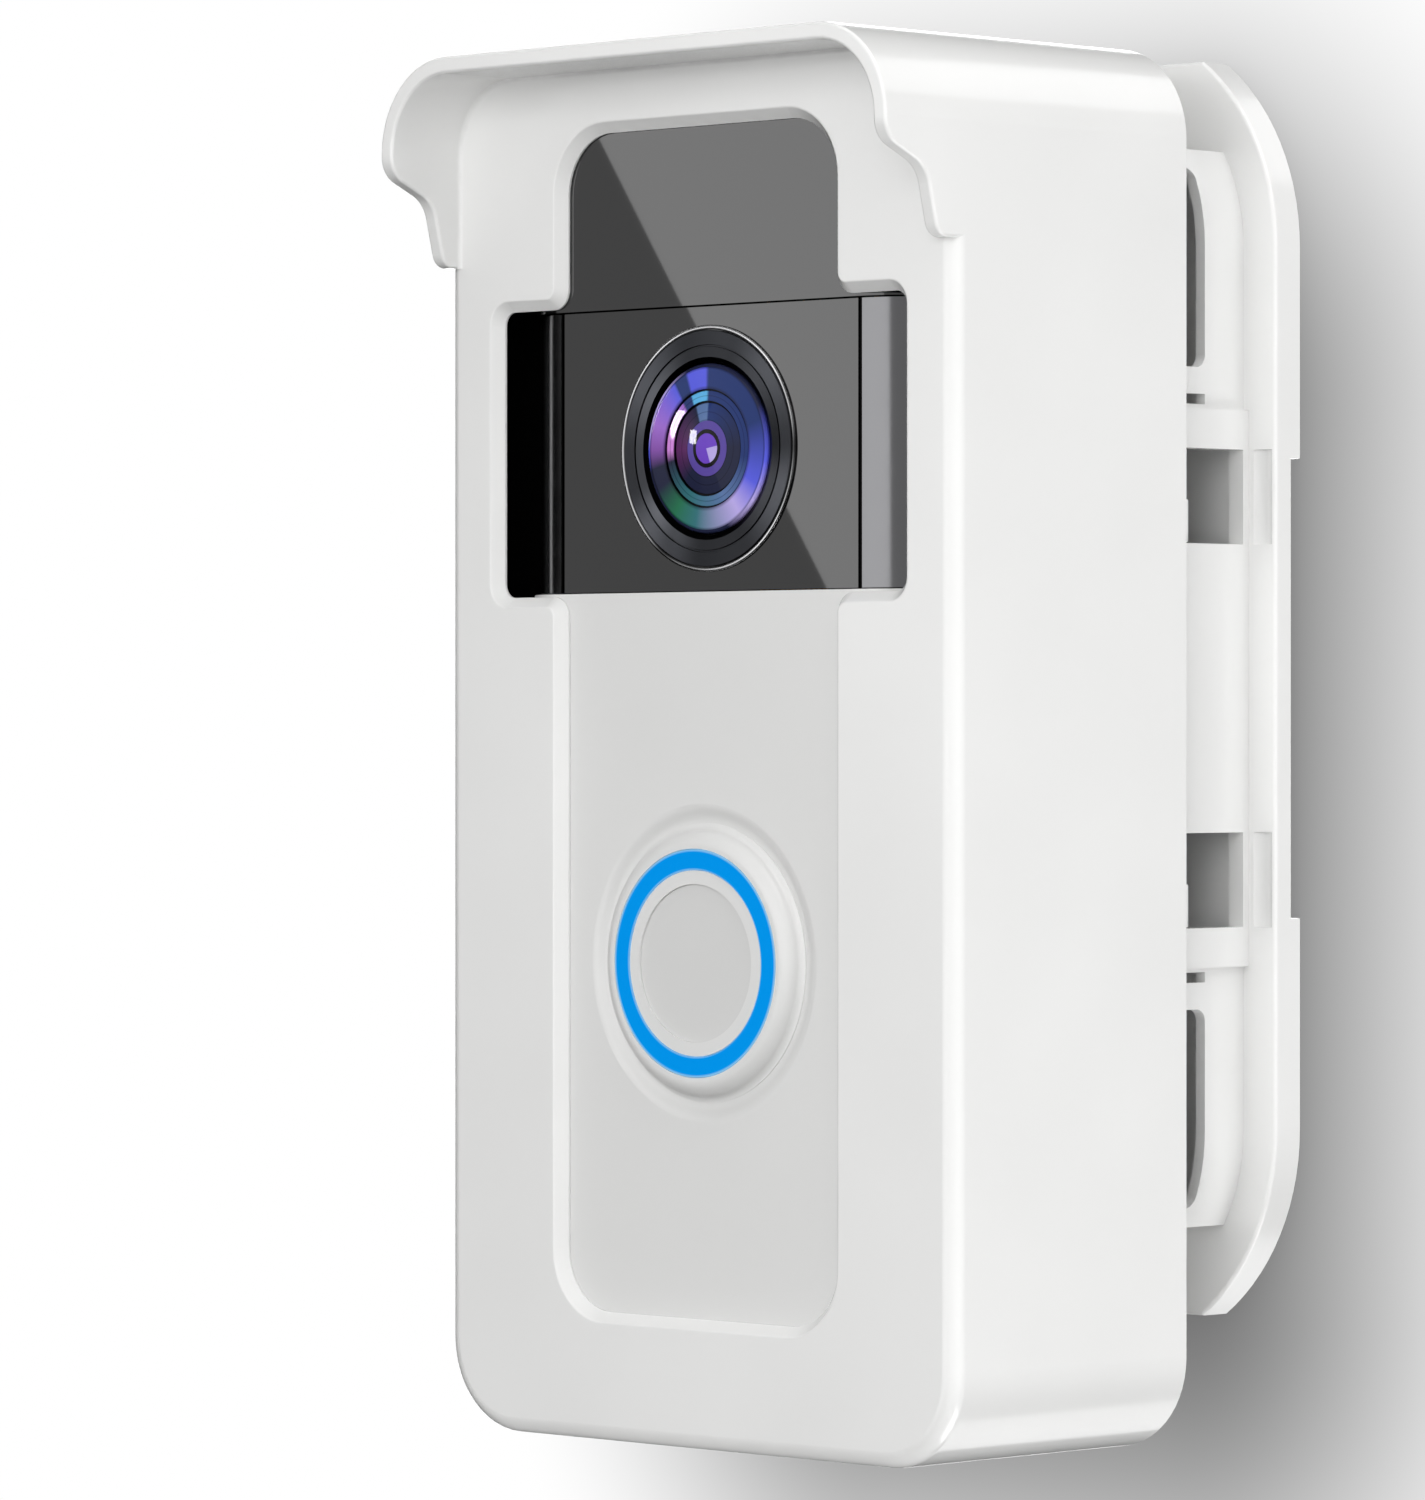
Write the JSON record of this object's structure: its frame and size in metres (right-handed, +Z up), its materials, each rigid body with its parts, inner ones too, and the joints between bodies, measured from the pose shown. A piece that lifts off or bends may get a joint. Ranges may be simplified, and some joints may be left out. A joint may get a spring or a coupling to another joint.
{
  "type": "video doorbell",
  "caption": "Video doorbell in a white anti-theft housing with a rain visor, hung on a moulded wall plate; camera lens above a push button with a blue light ring.",
  "frame": {"origin": "on the wall plane, at the middle of the wall plate's back", "axes": "+Z up, +Y into the wall, so the doorbell faces -Y; +X to the viewer's right"},
  "size_m": [0.076, 0.0641, 0.1487],
  "materials": {
    "housing_white": "satin moulded white plastic",
    "bell_pale": "satin pale grey plastic",
    "bell_black": "polished black plastic",
    "window_tint": "polished dark tinted plastic",
    "case_black": "fine textured black plastic",
    "trim_metal": "turned bright hoop",
    "lens_glass": "coated glass",
    "barrel_black": "black anodised",
    "ring_blue": "clear blue light pipe",
    "silicone": "moulded silicone",
    "foam_grey": "closed-cell foam",
    "tape_grey": "acrylic foam tape",
    "board_green": "solder-masked glass board",
    "chip_black": "moulded chip",
    "tin_plate": "tinned sheet",
    "screw_steel": "zinc plated",
    "terminal_brass": "machined brass",
    "cell_wrap": "wrapped cell pack",
    "ribbon_amber": "polyimide film",
    "foil_copper": "copper foil",
    "lamp_clear": "clear lamp",
    "cone_black": "black driver basket"
  },
  "bodies": {
    "bracket": {"wall_plate": "housing_white", "adhesive_pad": "tape_grey"},
    "housing": {"housing_shell": "housing_white", "rear_cover": "housing_white", "cover_screws": "screw_steel", "foam_pads": "foam_grey", "faceplate": "bell_pale", "upper_panel": "bell_black", "camera_surround": "bell_black", "camera_window": "window_tint", "rear_case": "case_black", "case_gasket": "silicone", "case_screws": "screw_steel", "lens_trim": "trim_metal", "lens_bezel": "bell_black", "front_lens": "lens_glass", "lens_barrel": "barrel_black", "inner_lens": "lens_glass", "image_sensor": "chip_black", "camera_board": "board_green", "lens_seal": "silicone", "ir_board": "board_green", "ir_leds": "lamp_clear", "button_collar": "bell_pale", "light_ring": "ring_blue", "button_seal": "silicone", "button_switch": "tin_plate", "button_board": "board_green", "ring_leds": "lamp_clear", "main_board": "board_green", "board_screws": "screw_steel", "shield_can": "tin_plate", "board_connector": "chip_black", "microphone": "tin_plate", "battery": "cell_wrap", "ribbon_cable": "ribbon_amber", "speaker": "cone_black", "speaker_gasket": "foam_grey", "antenna": "foil_copper", "power_board": "board_green", "terminal_posts": "terminal_brass", "terminal_screws": "screw_steel", "charge_port": "tin_plate"},
    "button": {"button_cap": "bell_pale", "switch_plunger": "chip_black"}
  },
  "joints": [
    {"name": "housing_lift", "type": "slide", "parent": "bracket", "child": "housing", "axis": [0, 0, 1], "range_m": [0, 0.005]},
    {"name": "button_press", "type": "slide", "parent": "housing", "child": "button", "axis": [0, 1, 0], "range_m": [0, 0.0006], "stiffness_N_per_m": 4000, "deforming": ["button_seal"]}
  ]
}
